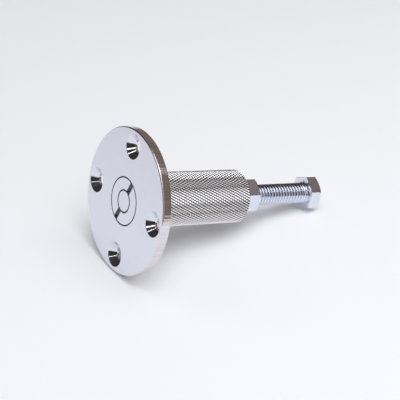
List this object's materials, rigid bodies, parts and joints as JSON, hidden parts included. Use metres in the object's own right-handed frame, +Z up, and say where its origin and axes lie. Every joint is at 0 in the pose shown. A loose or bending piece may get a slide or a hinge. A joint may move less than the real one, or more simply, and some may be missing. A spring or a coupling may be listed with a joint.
{
  "type": "floor door holder",
  "caption": "Flanged floor socket for a door's drop bolt: flush sprung plunger in a slotted bush, knurled sleeve below, hex adjusting bolt with lock nut.",
  "frame": {"origin": "centre of the plate's top face, on the flush tip of the plunger", "axes": "+Z up out of the floor along the plunger, X and Y midway between neighbouring screw holes"},
  "size_m": [0.0636, 0.0636, 0.101],
  "materials": {
    "polished_chrome": "polished chrome plate",
    "knurled_steel": "bright plated steel with a diamond knurl",
    "bright_zinc": "bright zinc plated steel",
    "spring_steel": "drawn spring wire"
  },
  "bodies": {
    "housing": {"flange_plate": "polished_chrome", "guide_bush": "polished_chrome", "knurled_sleeve": "knurled_steel", "end_plug": "bright_zinc"},
    "plunger": {"plunger": "polished_chrome"},
    "spring_seat": {"spring_seat": "bright_zinc", "return_spring": "spring_steel"},
    "adjusting_bolt": {"adjusting_bolt": "bright_zinc"},
    "lock_nut": {"lock_nut": "bright_zinc"}
  },
  "joints": [
    {"name": "plunger_press", "type": "slide", "parent": "housing", "child": "plunger", "axis": [0, 0, 1], "range_m": [-0.014, 0], "stiffness_N_per_m": 800, "springref_m": 0.004, "deforming": ["return_spring"]},
    {"name": "bolt_travel", "type": "slide", "parent": "housing", "child": "spring_seat", "axis": [0, 0, 1], "range_m": [0, 0.00397], "deforming": ["return_spring"]},
    {"name": "bolt_turn", "type": "hinge", "parent": "spring_seat", "child": "adjusting_bolt", "pos_m": [0, 0, -0.0952], "axis": [0, 0, 1], "range_deg": [0, 900]},
    {"name": "nut_turn", "type": "hinge", "parent": "housing", "child": "lock_nut", "pos_m": [0, 0, -0.0624], "axis": [0, 0, -1], "range_deg": [0, 180]}
  ],
  "couplings": [
    {"joint": "bolt_turn", "follows": "bolt_travel", "rad_per_m": 3957.9}
  ]
}
